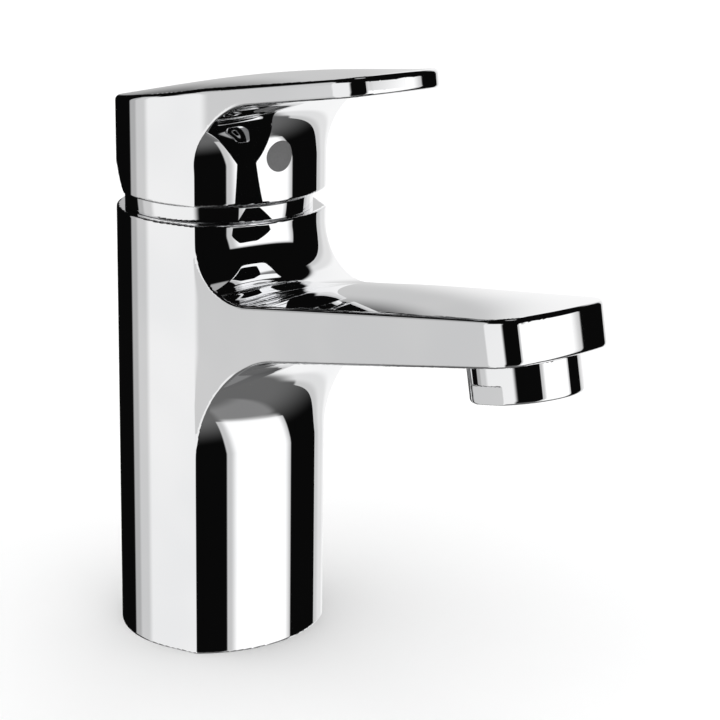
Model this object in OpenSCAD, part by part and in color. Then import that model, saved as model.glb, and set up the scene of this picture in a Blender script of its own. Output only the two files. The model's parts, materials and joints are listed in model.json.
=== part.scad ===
// Single-lever basin mixer tap, standing on its base on the deck.
// Frame: millimetres, +Z up, origin on the body's axis in the plane of the deck, spout towards -Y.
// Every module draws with the spout along +X and towards_front() turns the result into the frame.

/* [Body] */
// Radius of the round back of the body
body_r = 25; // [24:0.5:30]
// Height of the body's top rim above the deck
body_h = 107.5; // [95:0.5:140]
// How far the front of the body falls short of the round back's radius
front_flat = 1; // [0.6:0.1:2]
// Angle of the vertical side crease from the spout's direction, in degrees
crease_angle = 49.6; // [46:0.2:54]
// How far the crease stands outside the circle of the round back
crease_out = 1.25; // [0.8:0.05:2]
// Radius of the recess under the base
recess_r = 19; // [17:0.25:19.25]
// Height of the recess under the base
recess_h = 34; // [26:1:40]

/* [Spout] */
// Distance from the body's axis to the corners of the spout's tip
spout_reach = 115; // [95:1:150]
// Width of the spout across the corners of its tip
tip_w = 31; // [29:0.5:38]
// How far the curved end face stands out past its corners
tip_bulge = 3; // [1.5:0.5:6]
// Thickness of the spout at its tip
tip_t = 10.1; // [9.6:0.1:14]
// Depth of the spout's top line below the rim, on the body's axis
spout_drop = 21.5; // [20:0.5:24]
// Rise of the spout's top face, in degrees
top_rise = 9.7; // [6:0.1:12]
// Rise of the spout's underside, in degrees
under_rise = 12; // [8:0.1:14]
// Radius of the root fillet above the spout
upper_root_r = 14.5; // [8:0.5:15]
// Radius of the root fillet below the spout
lower_root_r = 22.5; // [12:0.5:26]
// Radius of the water channel in the spout
channel_r = 3.4; // [2.5:0.1:3.6]

/* [Aerator] */
// Distance from the corners of the spout's tip back to the aerator's axis
aerator_back = 9; // [9:0.5:14]
// Radius of the aerator's collar
collar_r = 12; // [10.5:0.25:14.5]
// Height of the collar below the spout
collar_h = 8.4; // [7:0.2:12]
// Radius of the aerator's thread
aerator_thread_r = 11; // [9.8:0.1:12]

/* [Lever] */
// Gap between the body's rim and the lever
lever_gap = 4.3; // [4:0.1:7]
// How far the lever's cap sits inside the body's outline
cap_inset = 0.3; // [0.1:0.1:0.4]
// Height of the lever's top line above the rim, on the body's axis
lever_rise_h = 28.5; // [27:0.5:36]
// Rise of the lever's top face, in degrees
lever_slope = 10; // [6:0.5:13]
// Distance from the body's axis to the corners of the lever's tip
lever_reach = 64.5; // [50:0.5:85]
// Width of the lever across the corners of its tip
lever_tip_w = 25.2; // [20:0.2:32]
// Thickness of the lever's plate
plate_t = 4.3; // [3.6:0.1:6]
// Radius of the fillet under the lever's plate
lever_root_r = 13; // [8:0.5:13]
// Radius of the hot and cold indicator
indicator_r = 3.7; // [3.2:0.1:4.2]
// Height of the indicator's centre above the rim
indicator_h = 15.3; // [14:0.1:16]

/* [Cartridge] */
// Radius of the cartridge
cartridge_r = 17.5; // [15.5:0.25:17.75]
// Depth of the cartridge's seat below the rim
seat_depth = 25.5; // [25.5:0.5:27]
// Depth of the lever's pivot pin below the rim
pin_depth = 3.5; // [3.5:0.1:4]
// Radius of the pivot pin
pin_r = 1.5; // [1.2:0.1:1.8]
// Side of the stem's square bar
stem_w = 8; // [6.5:0.1:8.4]
// Lift of the lever from closed to full flow, in degrees
lift = 20; // [16:1:20]
// Distance from the pivot pin to the stem's ball
ball_arm = 8.8; // [8.6:0.1:8.8]
// Radius of the stem's ball
ball_r = 2.6; // [2:0.1:2.6]

/* [Fits] */
// Radial clearance of a running fit
running = 0.05; // [0.02:0.01:0.1]
// Clearance of a part that is pushed into its seat
seated = 0.03; // [0.02:0.01:0.08]
// Radius of the tapped holes for the supply hoses
hose_r = 4.5; // [4:0.1:5]
// Radius of the tapped hole for the fixing stud
stud_r = 3.4; // [2.5:0.1:4.2]

/* [Hidden] */
$fn = 96;
eps = 0.1;
far = 400;

// Outline of the body
crease = (body_r + crease_out) * [cos(crease_angle), sin(crease_angle)];

// Spout
tip_half = tip_w / 2;
tip_z = body_h - spout_drop + tan(top_rise) * spout_reach;
under_axis_z = tip_z - tip_t - tan(under_rise) * spout_reach;
aerator_reach = spout_reach - aerator_back;
function spout_under(f) = under_axis_z + tan(under_rise) * f;

// Water ways
seat_z = body_h - seat_depth;
inlet_back = 6;
inlet_side = 7.5;
inlet_r = 3.5;
outlet_f = 9.5;
outlet_r = 3.8;
tapped_h = 12;
stud_f = 4;
stud_h = 18;
pocket_h = 9;
channel_start = body_r + 3;
channel_lift = channel_r + 2.3;

// Cartridge, from the seat upwards
base_h = 4;
seal_h = 2;
disc_t = 3.5;
moving_t = 2.5;
carrier_t = 5.4;
glide_t = 0.6;
flange_t = 1.6;
shoulder_t = 1.5;
face_gap = 0.02;
disc_z = seat_z + base_h;
moving_z = disc_z + disc_t + face_gap;
carrier_z = moving_z + moving_t;
glide_z = carrier_z + carrier_t + face_gap;
guide_z = glide_z + glide_t;
shoulder_z = guide_z + flange_t + 2 * face_gap;
neck_z = shoulder_z + shoulder_t;
pin_z = body_h - pin_depth;
guide_top = pin_z + 8;
neck_r = cartridge_r - 6.1;
neck_wall = 3.5;
neck_outer = neck_r + running + neck_wall;
neck_top = body_h + 1.5;
inner_r = cartridge_r - 2.5;
disc_r = cartridge_r - 3;
moving_r = cartridge_r - 7;
nut_thread_r = cartridge_r + 2.5;
stem_lean = lift / 2;
stem_low = -4.5;
stem_high = 22.5;
closed_shift = -ball_arm * sin(stem_lean);
slot_half = stem_w / 2 / cos(stem_lean) + tan(stem_lean) * 8 + 0.7;

// Ring and nut above the rim
ring_r = body_r - 2.25;
ring_wall = 1.3;
ring_top = body_h + lever_gap - 0.4;
ring_lid = 1.2;
dome_shelf = 3.25;
dome_play = 1;
dome_taper = 0.4;
dome_h = 1.5;
dome_foot = ring_r - dome_shelf;
dome_hole = neck_r + dome_play;
seal_room = 1.3;
nut_flange_r = ring_r - ring_wall - seal_room;
nut_top = ring_top - ring_lid - 0.2;

// Lever
cap_r = body_r - cap_inset;
cap_crease = crease * cap_r / body_r;
cap_z = body_h + lever_gap;
cap_front = body_r - front_flat - cap_inset;
lever_axis_z = body_h + lever_rise_h;
lever_tip_half = lever_tip_w / 2;
lever_tip_bulge = 2;
cap_wall = 3.2;
skirt_r = ring_r + 0.4;
skirt_h = 4.7;
heel_f = -6.5;
heel_low = [-11, 5.45];
heel_high_h = 8.6;
crown_h = 1.8;
crown_r = 150;
crown_f = 30;
boss_r = 9;
boss_low = 10.5;
bush_wall = 1;
screw_r = 2.45;
screw_l = 7;
key_r = 2.9;
plug_t = 1.5;
indicator_z = body_h + indicator_h;
screw_f = (indicator_z - pin_z) * tan(stem_lean) + stem_w / 2 / cos(stem_lean) + screw_r * tan(stem_lean) + 0.1;
function lever_top(f) = lever_axis_z + tan(lever_slope) * f;

// Aerator, along its own axis from the underside of the spout
aerator_thread_h = 3.3;
washer_t = 1.5;
chamber_h = 2.2;
chamber_r = aerator_thread_r - 1.5;
regulator_r = aerator_thread_r - 1.3;
regulator_low = -(collar_h - 2.4);
straightener_t = 0.9;
lip = 1.2;
flat_drop = 4.3;
flat_af = 2 * collar_r - 2;

module towards_front() { rotate([0, 0, -90]) children(); }

module tube(outer, inner, h) {
    difference() {
        cylinder(r = outer, h = h);
        translate([0, 0, -eps]) cylinder(r = inner, h = h + 2 * eps);
    }
}

// Radius of the arc through (front, 0) and the point p and its mirror image.
function arc_r(front, p) = front - (front * front - p * p) / (2 * (front - p[0]));

// Outline with a round back, straight sides from the tangent points to the creases, and a flatter front arc.
module outline(r, front, corner) {
    turn = atan2(corner[1], corner[0]) + acos(r / norm(corner));
    touch = 0.9985 * r * [cos(turn), sin(turn)];
    slope = (corner[1] - touch[1]) / (corner[0] - touch[0]);
    ahead = [front + 8, corner[1] + slope * (front + 8 - corner[0])];
    front_r = arc_r(front, corner);
    intersection() {
        union() {
            circle(r = r);
            polygon([touch, ahead, [ahead[0], -ahead[1]], [touch[0], -touch[1]]]);
        }
        translate([front - front_r, 0]) circle(r = front_r);
    }
}

// Blade seen from above: straight sides from just inside the creases to the corners of the tip, and on past them.
module blade_plan(corner, reach, half) {
    from = corner - [0.1, 0.05];
    slope = (half - from[1]) / (reach - from[0]);
    past = reach + 14;
    end = from[1] + slope * (past - from[0]);
    polygon([[0, from[1]], from, [past, end], [past, -end], [from[0], -from[1]], [0, -from[1]]]);
}

// Centre of the fillet circle in the corner between the upright root line and a rising line, and the point
// where the circle touches that line. The corner is below the line for side -1 and above it for side 1.
function fillet_middle(root, r, line_z, angle, side) =
    [root + r, line_z + tan(angle) * (root + r) + side * r / cos(angle)];
function fillet_touch(root, r, line_z, angle, side) =
    let (f = root + r + side * r * sin(angle)) [f, line_z + tan(angle) * f];

// Blade seen from the side, between two rising lines, with a fillet at the root under it.
// A fillet above it is added when its radius isn't 0.
module blade_side(root, past, low_z, low_a, high_z, high_a, low_r, high_r) {
    under = fillet_middle(root, low_r, low_z, low_a, -1);
    above = fillet_middle(root, high_r, high_z, high_a, 1);
    top = high_r > 0
        ? [fillet_touch(root, high_r, high_z, high_a, 1), above, [0, above[1]]]
        : [[0, high_z]];
    difference() {
        polygon(concat([
            [0, under[1]], under, fillet_touch(root, low_r, low_z, low_a, -1),
            [past, low_z + tan(low_a) * past], [past, high_z + tan(high_a) * past]
        ], top));
        translate(under) circle(r = low_r);
        if (high_r > 0) translate(above) circle(r = high_r);
    }
}

// Upright extrusion of a side view across the whole width.
module across(half) {
    rotate([90, 0, 0]) translate([0, 0, -half]) linear_extrude(height = 2 * half) children();
}

// All that lies behind the curved end face of a blade, which leans back by the angle.
module end_face(reach, z, half, bulge, angle) {
    r = (half * half + bulge * bulge) / (2 * bulge);
    translate([reach, 0, z]) rotate([0, -angle, 0]) {
        translate([bulge - r, 0, -far / 2]) cylinder(r = r, h = far, $fn = 180);
        translate([-far, -far / 2, -far / 2]) cube([far, far, far]);
    }
}

// Round hole between two points of the side view.
module run(a, b, r) {
    d = b - a;
    translate([a[0], 0, a[1]]) rotate([0, atan2(d[0], d[1]), 0]) cylinder(r = r, h = norm(d));
}

module aerator_frame() {
    translate([aerator_reach, 0, spout_under(aerator_reach)]) rotate([0, -under_rise, 0]) children();
}

module stem_frame() { translate([0, 0, pin_z]) rotate([0, stem_lean, 0]) children(); }

module inlets() {
    for (side = [-1, 1]) translate([-inlet_back, side * inlet_side, 0]) children();
}

module spout_blade() {
    intersection() {
        linear_extrude(height = far) blade_plan(crease, spout_reach, tip_half);
        across(body_r + 10)
            blade_side(crease[0], spout_reach + 12, under_axis_z, under_rise, body_h - spout_drop,
                top_rise, lower_root_r, upper_root_r);
        end_face(spout_reach, tip_z, tip_half, tip_bulge, under_rise);
    }
}

module water_ways() {
    pocket_z = seat_z - pocket_h;
    rise_from = [outlet_f, pocket_z + channel_r];
    rise_to = [channel_start, spout_under(channel_start) + channel_lift];
    end_f = aerator_reach - aerator_thread_r / 2;
    inlets() {
        translate([0, 0, recess_h - eps]) cylinder(r = hose_r, h = tapped_h + eps);
        translate([0, 0, recess_h]) cylinder(r = inlet_r, h = seat_z - recess_h + eps);
    }
    translate([outlet_f, 0, pocket_z]) cylinder(r = outlet_r, h = pocket_h + eps);
    run(rise_from, rise_to + 0.06 * (rise_to - rise_from), channel_r);
    run(rise_to, [end_f, spout_under(end_f) + channel_lift], channel_r);
    aerator_frame() {
        translate([0, 0, -2]) cylinder(r = aerator_thread_r + seated, h = aerator_thread_h + washer_t + 2);
        cylinder(r = chamber_r, h = aerator_thread_h + washer_t + chamber_h);
    }
}

module body() {
    color("silver") towards_front() difference() {
        union() {
            linear_extrude(height = body_h) outline(body_r, body_r - front_flat, crease);
            spout_blade();
        }
        translate([0, 0, -eps]) cylinder(r = recess_r, h = recess_h + eps);
        translate([0, 0, -eps]) tube(recess_r + 3.8, recess_r + 1.4, 2 + eps);
        translate([stud_f, 0, recess_h - eps]) cylinder(r = stud_r, h = stud_h + eps);
        water_ways();
        translate([0, 0, seat_z]) cylinder(r = cartridge_r + running, h = far);
        translate([0, 0, neck_z]) cylinder(r = nut_thread_r + seated, h = far);
        locating_sites() translate([0, 0, seat_z - 3]) cylinder(r = 1.5 + seated, h = 4, $fn = 32);
    }
}

module base_gasket() {
    color("#222222") towards_front() tube(recess_r + 3.8 - seated, recess_r + 1.4 + seated, 2);
}

module locating_sites() {
    for (side = [-1, 1]) translate([3, side * (cartridge_r - 3), 0]) children();
}

module locating_pins() {
    color("#dddddd") towards_front()
        locating_sites() translate([0, 0, seat_z - 2.8]) cylinder(r = 1.5, h = 5.3, $fn = 32);
}

module cartridge_base() {
    color("#e6e6e6") towards_front() difference() {
        translate([0, 0, seat_z]) cylinder(r = cartridge_r, h = base_h);
        inlets() translate([0, 0, seat_z - eps]) {
            cylinder(r = inlet_r, h = base_h + 2 * eps);
            cylinder(r = inlet_r + 2.1 + seated, h = seal_h + eps);
        }
        translate([outlet_f, 0, seat_z - eps]) {
            cylinder(r = outlet_r, h = base_h + 2 * eps);
            cylinder(r = outlet_r + 2.1 + seated, h = seal_h + eps);
        }
        locating_sites() translate([0, 0, seat_z - eps]) cylinder(r = 1.5 + seated, h = 2.7, $fn = 32);
        translate([0, 0, seat_z + 1.4]) difference() {
            cylinder(r = cartridge_r + 1, h = 1.6);
            cylinder(r = cartridge_r - 1.2, h = 1.6);
        }
    }
}

module inlet_seal(side) {
    color("#222222") towards_front()
        translate([-inlet_back, side * inlet_side, seat_z]) tube(inlet_r + 2.1, inlet_r + 0.1, seal_h);
}

module outlet_seal() {
    color("#222222") towards_front()
        translate([outlet_f, 0, seat_z]) tube(outlet_r + 2.1, outlet_r + 0.1, seal_h);
}

// Seal round the cartridge's foot, in the groove of its base.
module housing_seal() {
    color("#222222") towards_front()
        translate([0, 0, seat_z + 1.4 + seated]) tube(cartridge_r, cartridge_r - 1.2 + seated, 1.6 - 2 * seated);
}

module fixed_disc() {
    color("#f4f1ea") towards_front() translate([0, 0, disc_z]) difference() {
        cylinder(r = disc_r, h = disc_t);
        inlets() translate([0, 0, -eps]) cylinder(r = inlet_r - 0.2, h = disc_t + 2 * eps);
        translate([outlet_f, 0, -eps]) cylinder(r = outlet_r - 0.2, h = disc_t + 2 * eps);
    }
}

module moving_disc() {
    color("#f4f1ea") towards_front() translate([closed_shift, 0, moving_z]) difference() {
        cylinder(r = moving_r, h = moving_t);
        translate([1.5, 0, -eps]) cylinder(r = moving_r - 3, h = 1.5 + eps);
    }
}

// Carrier that the stem's ball pushes to and fro, with three lugs' worth of body around the socket.
module disc_carrier() {
    color("#2f6fb0") towards_front() translate([closed_shift, 0, carrier_z]) difference() {
        cylinder(r = moving_r, h = carrier_t);
        translate([0, 0, 0.6]) cylinder(r = ball_r + running, h = carrier_t);
        for (turn = [45:90:315]) rotate([0, 0, turn]) translate([moving_r, 0, 1.6])
            cylinder(r = 2.2, h = carrier_t, $fn = 32);
    }
}

module glide_ring() {
    color("#eeeeee") towards_front() translate([0, 0, glide_z]) tube(inner_r - 0.4, inner_r - 6, glide_t);
}

module stem_guide() {
    color("#3b3b3b") towards_front() difference() {
        union() {
            translate([0, 0, guide_z]) cylinder(r = inner_r - 0.1, h = flange_t);
            translate([0, 0, guide_z]) cylinder(r = neck_r, h = guide_top - guide_z);
        }
        translate([-slot_half, -stem_w / 2 - running, guide_z - eps])
            cube([2 * slot_half, stem_w + 2 * running, guide_top - guide_z + 2 * eps]);
        translate([0, 0, pin_z]) rotate([90, 0, 0]) cylinder(r = pin_r + seated, h = far, center = true);
    }
}

module pivot_pin() {
    color("#b8b8b8") towards_front()
        translate([0, 0, pin_z]) rotate([90, 0, 0]) cylinder(r = pin_r, h = 2 * neck_r - 0.6, center = true);
}

module lever_stem() {
    color("#c8a84b") towards_front() stem_frame() difference() {
        union() {
            translate([-stem_w / 2, -stem_w / 2, stem_low]) cube([stem_w, stem_w, stem_high - stem_low]);
            translate([0, 0, -ball_arm]) cylinder(r = ball_r - 0.5, h = ball_arm + stem_low + 1);
            translate([0, 0, -ball_arm]) sphere(r = ball_r);
        }
        rotate([90, 0, 0]) cylinder(r = pin_r + running, h = far, center = true);
    }
}

module cartridge_housing() {
    color("#e0e0e0") towards_front() difference() {
        union() {
            translate([0, 0, disc_z]) cylinder(r = cartridge_r, h = neck_z - disc_z);
            translate([0, 0, disc_z]) cylinder(r = neck_outer, h = neck_top - disc_z);
        }
        translate([0, 0, disc_z - eps]) cylinder(r = inner_r, h = shoulder_z - disc_z + eps);
        translate([0, 0, disc_z]) cylinder(r = neck_r + running, h = far);
    }
}

module temperature_ring() {
    color("#d33a2c") towards_front() translate([0, 0, neck_top]) {
        tube(neck_outer, neck_r + 0.5, 1.2);
        for (turn = [150:15:210]) rotate([0, 0, turn])
            translate([neck_outer - 1.2, -0.6, 1]) cube([1, 1.2, 0.8]);
    }
}

module cartridge_nut() {
    color("#c8a84b") towards_front() difference() {
        union() {
            translate([0, 0, neck_z]) cylinder(r = nut_thread_r, h = nut_top - neck_z);
            translate([0, 0, body_h + 0.1]) cylinder(r = nut_flange_r, h = nut_top - body_h - 0.1);
        }
        translate([0, 0, neck_z - eps]) cylinder(r = neck_outer + 0.1, h = far);
        for (turn = [30:60:330]) rotate([0, 0, turn])
            translate([nut_flange_r - 1.4, 0, nut_top - 0.9]) cylinder(r = 2, h = 2, $fn = 32);
    }
}

// Round seal that grips the cover ring from inside.
module nut_seal() {
    color("#222222") towards_front() rotate_extrude()
        translate([nut_flange_r + seal_room / 2, body_h + 1.2]) circle(r = seal_room / 2 - seated, $fn = 24);
}

// Trim ring with a low dome that hides the nut, up to the neck of the stem guide.
module cover_ring() {
    lid = ring_top - body_h;
    color("silver") towards_front() translate([0, 0, body_h]) difference() {
        union() {
            cylinder(r = ring_r, h = lid);
            translate([0, 0, lid - eps]) cylinder(r1 = dome_foot, r2 = dome_hole, h = dome_h + eps);
        }
        translate([0, 0, -eps]) cylinder(r = ring_r - ring_wall, h = lid - ring_lid + eps);
        translate([0, 0, lid - ring_lid - eps])
            cylinder(r1 = dome_foot, r2 = dome_hole - dome_taper, h = dome_h + eps);
        cylinder(r = dome_hole, h = far);
    }
}

// Everything below the lever's top: the plane face and the low crown on it.
module under_lever_top() {
    across(body_r + 10) polygon([
        [-body_r - 10, 0], [lever_reach + 20, 0],
        [lever_reach + 20, lever_top(lever_reach + 20)], [-body_r - 10, lever_top(-body_r - 10)]
    ]);
    translate([crown_f, 0, lever_top(crown_f)]) rotate([0, -lever_slope, 0])
        translate([0, 0, crown_h - crown_r]) rotate([90, 0, 0]) sphere(r = crown_r, $fn = 200);
}

// Lever without its hollow: the cap over the body and the plate that reaches forward.
module lever_outside() {
    intersection() {
        union() {
            translate([0, 0, cap_z]) linear_extrude(height = far) outline(cap_r, cap_front, cap_crease);
            intersection() {
                linear_extrude(height = far) blade_plan(cap_crease, lever_reach, lever_tip_half);
                across(body_r + 10)
                    blade_side(cap_crease[0], lever_reach + 12, lever_axis_z - plate_t, lever_slope,
                        lever_axis_z + 40, lever_slope, lever_root_r, 0);
                end_face(lever_reach, lever_top(lever_reach), lever_tip_half, lever_tip_bulge, lever_slope);
            }
        }
        under_lever_top();
    }
}

// Wedge cut from the back of the skirt, so that the lever can tilt.
module heel_cut() {
    across(body_r + 10) polygon([
        [heel_f, cap_z], [heel_low[0], cap_z + heel_low[1]], [-body_r - 1, cap_z + heel_high_h],
        [-body_r - 1, cap_z - 10], [heel_f, cap_z - 10]
    ]);
}

module cap_hollow() {
    front = cap_front - cap_wall;
    front_r = arc_r(cap_front, cap_crease) - cap_wall;
    roof = lever_axis_z - plate_t;
    intersection() {
        translate([0, 0, cap_z - eps]) cylinder(r = cap_r - cap_wall, h = far);
        translate([front - front_r, 0, 0]) cylinder(r = front_r, h = far);
        across(body_r + 10) polygon([
            [-body_r, 0], [body_r, 0],
            [body_r, roof + tan(lever_slope) * body_r], [-body_r, roof - tan(lever_slope) * body_r]
        ]);
    }
    intersection() {
        translate([0, 0, cap_z - eps]) cylinder(r = skirt_r, h = skirt_h + eps);
        translate([front - front_r, 0, 0]) cylinder(r = front_r + cap_wall - 1.4, h = far);
    }
}

module screw_run(r, from, to) {
    translate([from, 0, indicator_z]) rotate([0, 90, 0]) cylinder(r = r, h = to - from, $fn = 48);
}

module lever() {
    color("silver") towards_front() difference() {
        union() {
            difference() {
                lever_outside();
                heel_cut();
                cap_hollow();
            }
            intersection() {
                union() {
                    stem_frame() translate([0, 0, boss_low]) cylinder(r = boss_r, h = 22);
                    screw_run(4.8, screw_f, screw_f + screw_l + 1.5);
                }
                across(body_r + 10) polygon([
                    [-body_r, 0], [body_r, 0], [body_r, lever_top(body_r) - 1],
                    [-body_r, lever_top(-body_r) - 1]
                ]);
            }
        }
        stem_frame() translate([-stem_w / 2 - bush_wall - seated, -stem_w / 2 - bush_wall - seated, 0])
            cube([stem_w + 2 * (bush_wall + seated), stem_w + 2 * (bush_wall + seated), stem_high + 0.5]);
        screw_run(screw_r + seated, 0, screw_f + screw_l + 3);
        screw_run(key_r, screw_f + screw_l + 1.5, far);
        screw_run(indicator_r + seated, cap_front - plug_t, far);
    }
}

// Plastic sleeve between the stem's square and the lever's socket.
module lever_bush() {
    color("#444444") towards_front() difference() {
        stem_frame() translate([0, 0, boss_low]) difference() {
            translate([-stem_w / 2 - bush_wall, -stem_w / 2 - bush_wall, 0])
                cube([stem_w + 2 * bush_wall, stem_w + 2 * bush_wall, stem_high - boss_low]);
            translate([-stem_w / 2 - seated, -stem_w / 2 - seated, -eps])
                cube([stem_w + 2 * seated, stem_w + 2 * seated, far]);
        }
        screw_run(screw_r + seated, 0, far);
    }
}

// Grub screw with a hexagon socket in its outer end.
module lever_screw() {
    color("#777777") towards_front() difference() {
        screw_run(screw_r, screw_f, screw_f + screw_l);
        translate([screw_f + screw_l - 3, 0, indicator_z]) rotate([0, 90, 0]) cylinder(r = 1.44, h = 4, $fn = 6);
    }
}

module indicator_plug() {
    front_r = arc_r(cap_front, cap_crease);
    color("#8c8c8c") towards_front() intersection() {
        union() {
            screw_run(indicator_r, cap_front - plug_t, cap_front + 1);
            screw_run(key_r - seated, cap_front - plug_t - 1.6, cap_front);
        }
        translate([cap_front - front_r, 0, 0]) cylinder(r = front_r, h = far, $fn = 180);
    }
}

module aerator_collar() {
    color("silver") towards_front() aerator_frame() difference() {
        union() {
            translate([0, 0, -collar_h]) cylinder(r1 = collar_r - 0.9, r2 = collar_r, h = 0.9);
            translate([0, 0, 0.9 - collar_h]) cylinder(r = collar_r, h = collar_h - 0.9);
            translate([0, 0, -eps]) cylinder(r = aerator_thread_r, h = aerator_thread_h + eps);
        }
        translate([0, 0, -collar_h + lip]) cylinder(r = regulator_r + seated, h = far);
        translate([0, 0, -collar_h - eps]) cylinder(r = regulator_r - 0.8, h = far);
        for (side = [0, 180]) rotate([0, 0, side])
            translate([-far / 2, flat_af / 2, -collar_h - eps]) cube([far, 10, collar_h - flat_drop + eps]);
    }
}

module aerator_washer() {
    color("#222222") towards_front() aerator_frame()
        translate([0, 0, aerator_thread_h]) tube(aerator_thread_r - 0.1, chamber_r - 1.3, washer_t);
}

// Plastic insert with a ring of jet holes through its plate.
module jet_regulator() {
    low = regulator_low + straightener_t;
    color("#dfe6ea") towards_front() aerator_frame() difference() {
        translate([0, 0, low]) cylinder(r = regulator_r, h = aerator_thread_h - low);
        translate([0, 0, low - eps]) cylinder(r = regulator_r - 1.2, h = 4);
        translate([0, 0, low + 5.4]) cylinder(r = regulator_r - 1.2, h = far);
        for (turn = [0:30:330]) rotate([0, 0, turn])
            translate([regulator_r - 3.4, 0, 0]) cylinder(r = 0.8, h = far, center = true, $fn = 24);
    }
}

// Grid of bars in the outlet, made as crossed slats in a rim.
module flow_straightener() {
    span = regulator_r - 1;
    color("#cfd6da") towards_front() aerator_frame() translate([0, 0, regulator_low]) {
        tube(regulator_r, span, straightener_t);
        intersection() {
            cylinder(r = span + eps, h = straightener_t);
            for (turn = [0, 90]) rotate([0, 0, turn]) for (step = [-2:2])
                translate([-span - 1, step * 3 - 0.25, 0]) cube([2 * span + 2, 0.5, straightener_t]);
        }
    }
}

body();
base_gasket();
cartridge_base();
inlet_seal(-1);  // hot_inlet_seal
inlet_seal(1);  // cold_inlet_seal
outlet_seal();
locating_pins();
fixed_disc();
moving_disc();
disc_carrier();
glide_ring();
stem_guide();
pivot_pin();
lever_stem();
cartridge_housing();
housing_seal();
temperature_ring();
cartridge_nut();
nut_seal();
cover_ring();
lever();
lever_bush();
lever_screw();
indicator_plug();
aerator_collar();
aerator_washer();
jet_regulator();
flow_straightener();
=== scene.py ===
"""Single-lever basin mixer tap in polished chrome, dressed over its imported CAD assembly.

The CAD frame supplies the cartridge, its seals and every other inner piece. The five pieces that make up the
outside are rebuilt here with the blended edges that polishing leaves: the body with its spout, the lever, the
trim ring, the indicator button and the aerator's collar. All lengths are millimetres until a mesh is written,
and the spout points towards -Y.
"""

import json
import logging
import math
from dataclasses import dataclass
from enum import Enum
from typing import Callable

import bpy
import numpy as np
from mathutils import Matrix, Vector


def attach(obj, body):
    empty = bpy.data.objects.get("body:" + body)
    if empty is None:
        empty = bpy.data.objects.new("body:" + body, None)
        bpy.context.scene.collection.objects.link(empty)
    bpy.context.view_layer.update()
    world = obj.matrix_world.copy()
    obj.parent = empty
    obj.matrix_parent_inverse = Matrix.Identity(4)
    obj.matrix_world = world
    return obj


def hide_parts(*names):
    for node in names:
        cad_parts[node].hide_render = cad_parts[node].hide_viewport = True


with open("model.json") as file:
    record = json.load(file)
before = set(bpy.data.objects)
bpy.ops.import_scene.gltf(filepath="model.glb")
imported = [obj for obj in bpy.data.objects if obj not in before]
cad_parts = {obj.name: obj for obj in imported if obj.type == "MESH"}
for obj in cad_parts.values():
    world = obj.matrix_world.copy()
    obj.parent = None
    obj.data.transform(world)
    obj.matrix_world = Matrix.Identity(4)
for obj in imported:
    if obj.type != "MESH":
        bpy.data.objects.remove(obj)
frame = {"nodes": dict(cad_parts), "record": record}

log = logging.getLogger("basin_mixer")
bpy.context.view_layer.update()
MM = 0.001
LEAST_BLEND = 0.05

Array = np.ndarray
Field = Callable[[Array, Array, Array], Array]
Colour = tuple[float, float, float]


class Body(Enum):
    """The rigid bodies of the frame that the rebuilt pieces ride on."""

    TAP = "tap_body"
    HANDLE = "handle"


# ---------------------------------------------------------------------------------------------------------
# Distances: each function gives how far points lie outside a shape, negative inside, as whole arrays.
# ---------------------------------------------------------------------------------------------------------


def round_and(a: Array, b: Array, r: float | Array) -> Array:
    """Overlap of two shapes whose shared edge is rounded over.

    Formula: the larger of a and b, held at -r, plus the length of the vector (a + r, b + r) with negatives
    set to 0.

    Args:
        a: Distance to the first shape.
        b: Distance to the second shape.
        r: Radius of the rounded edge.

    Returns:
        Distance to the overlap.
    """
    return np.minimum(np.maximum(a, b), -r) + np.hypot(np.maximum(a + r, 0), np.maximum(b + r, 0))


def round_or(a: Array, b: Array, r: float | Array) -> Array:
    """Union of two shapes whose inner corner is filled with a fillet.

    Formula: the smaller of a and b, held at r, less the length of the vector (r - a, r - b) with negatives
    set to 0.

    Args:
        a: Distance to the first shape.
        b: Distance to the second shape.
        r: Radius of the fillet.

    Returns:
        Distance to the union.
    """
    return np.maximum(np.minimum(a, b), r) - np.hypot(np.maximum(r - a, 0), np.maximum(r - b, 0))


def soft_or(a: Array, b: Array, k: float | Array) -> Array:
    """Union of two shapes that run into each other without a visible line.

    Formula: the smaller of a and b, less a quarter of k times the square of the share by which they differ
    less than k.

    Args:
        a: Distance to the first shape.
        b: Distance to the second shape.
        k: Difference below which the two blend.

    Returns:
        Distance to the union.
    """
    share = np.maximum(k - np.abs(a - b), 0) / k
    return np.minimum(a, b) - share * share * k / 4


def ramp(x: Array, start: float, end: float) -> Array:
    """Smooth step: 0 before start, 1 after end, and 3t squared less 2t cubed between them."""
    t = np.clip((x - start) / (end - start), 0, 1)
    return t * t * (3 - 2 * t)


def arc_radius(half_chord: float, sagitta: float) -> float:
    """Radius of an arc: half its chord squared plus its sagitta squared, over twice the sagitta."""
    return (half_chord**2 + sagitta**2) / (2 * sagitta)


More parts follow.
